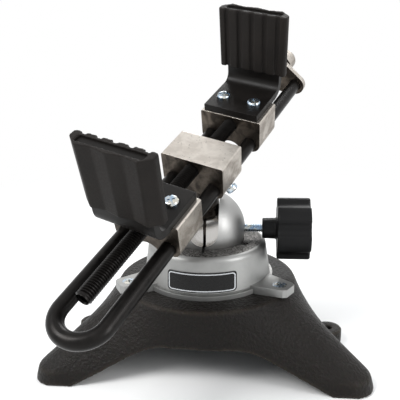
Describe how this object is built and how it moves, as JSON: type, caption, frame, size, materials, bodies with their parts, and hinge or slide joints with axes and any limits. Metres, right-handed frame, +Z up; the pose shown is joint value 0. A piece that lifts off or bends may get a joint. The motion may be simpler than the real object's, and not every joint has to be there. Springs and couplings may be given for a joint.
{
  "type": "bench vise",
  "caption": "Self-centring bench vise on a split-ball swivel and a heavy cast three-legged stand, with ribbed rubber jaws on a screw and U rod.",
  "frame": {"origin": "on the swivel axis at bench level, midway between the two bench bolt holes", "axes": "+Z up along the swivel axis, +X through the clamp knob and the right bench hole, -Y between the two front legs"},
  "size_m": [0.224, 0.2715, 0.2407],
  "materials": {
    "black_casting": "black wrinkle powder coat",
    "satin_casting": "satin die casting",
    "bright_casting": "bright machined casting",
    "zinc_steel": "bright zinc plated",
    "black_steel": "black oxide",
    "black_bracket": "satin black coat",
    "pad_rubber": "moulded, dull",
    "knob_plastic": "moulded black",
    "plate_black": "plain black",
    "steel": "turned steel"
  },
  "bodies": {
    "stand": {"base_casting": "black_casting", "swivel_housing": "satin_casting", "housing_screws": "zinc_steel", "name_plate": "plate_black"},
    "ball": {"ball_half_left": "satin_casting", "ball_half_right": "satin_casting", "neck_keeper": "steel"},
    "clamp": {"clamp_rod": "zinc_steel", "clamp_knob": "knob_plastic"},
    "tilter": {"tilt_socket": "steel"},
    "head": {"stem": "steel", "centre_block": "bright_casting", "rod_clamp_screws": "zinc_steel", "u_rod": "black_steel", "end_plate": "bright_casting"},
    "screw": {"lead_screw": "black_steel", "thumb_knob": "bright_casting", "screw_collar": "steel"},
    "near_jaw": {"near_carrier": "bright_casting", "near_bracket": "black_bracket", "near_bracket_screws": "zinc_steel", "near_pad": "pad_rubber"},
    "far_jaw": {"far_carrier": "bright_casting", "far_bracket": "black_bracket", "far_bracket_screws": "zinc_steel", "far_pad": "pad_rubber"}
  },
  "joints": [
    {"name": "swivel_turn", "type": "hinge", "parent": "stand", "child": "ball", "pos_m": [0, 0, 0.0883], "axis": [0, 0, 1], "continuous": true},
    {"name": "clamp_turn", "type": "hinge", "parent": "ball", "child": "clamp", "pos_m": [0, 0, 0.0883], "axis": [1, 0, 0], "range_deg": [0, 540]},
    {"name": "head_tilt", "type": "hinge", "parent": "ball", "child": "tilter", "pos_m": [0, 0, 0.0883], "axis": [1, 0, 0], "range_deg": [-75, 23]},
    {"name": "head_spin", "type": "hinge", "parent": "tilter", "child": "head", "pos_m": [0, 0, 0.0883], "axis": [0, -0.454, 0.891], "continuous": true},
    {"name": "screw_turn", "type": "hinge", "parent": "head", "child": "screw", "pos_m": [0, -0.02826, 0.14376], "axis": [0.4019, 0.8159, 0.4157], "range_deg": [-6195, 8418]},
    {"name": "near_slide", "type": "slide", "parent": "head", "child": "near_jaw", "axis": [-0.4019, -0.8159, -0.4157], "range_m": [-0.0273, 0.0371]},
    {"name": "far_slide", "type": "slide", "parent": "head", "child": "far_jaw", "axis": [0.4019, 0.8159, 0.4157], "range_m": [-0.0273, 0.0371]}
  ],
  "couplings": [
    {"joint": "far_slide", "follows": "near_slide", "ratio": 1},
    {"joint": "screw_turn", "follows": "near_slide", "rad_per_m": 3957.9}
  ]
}
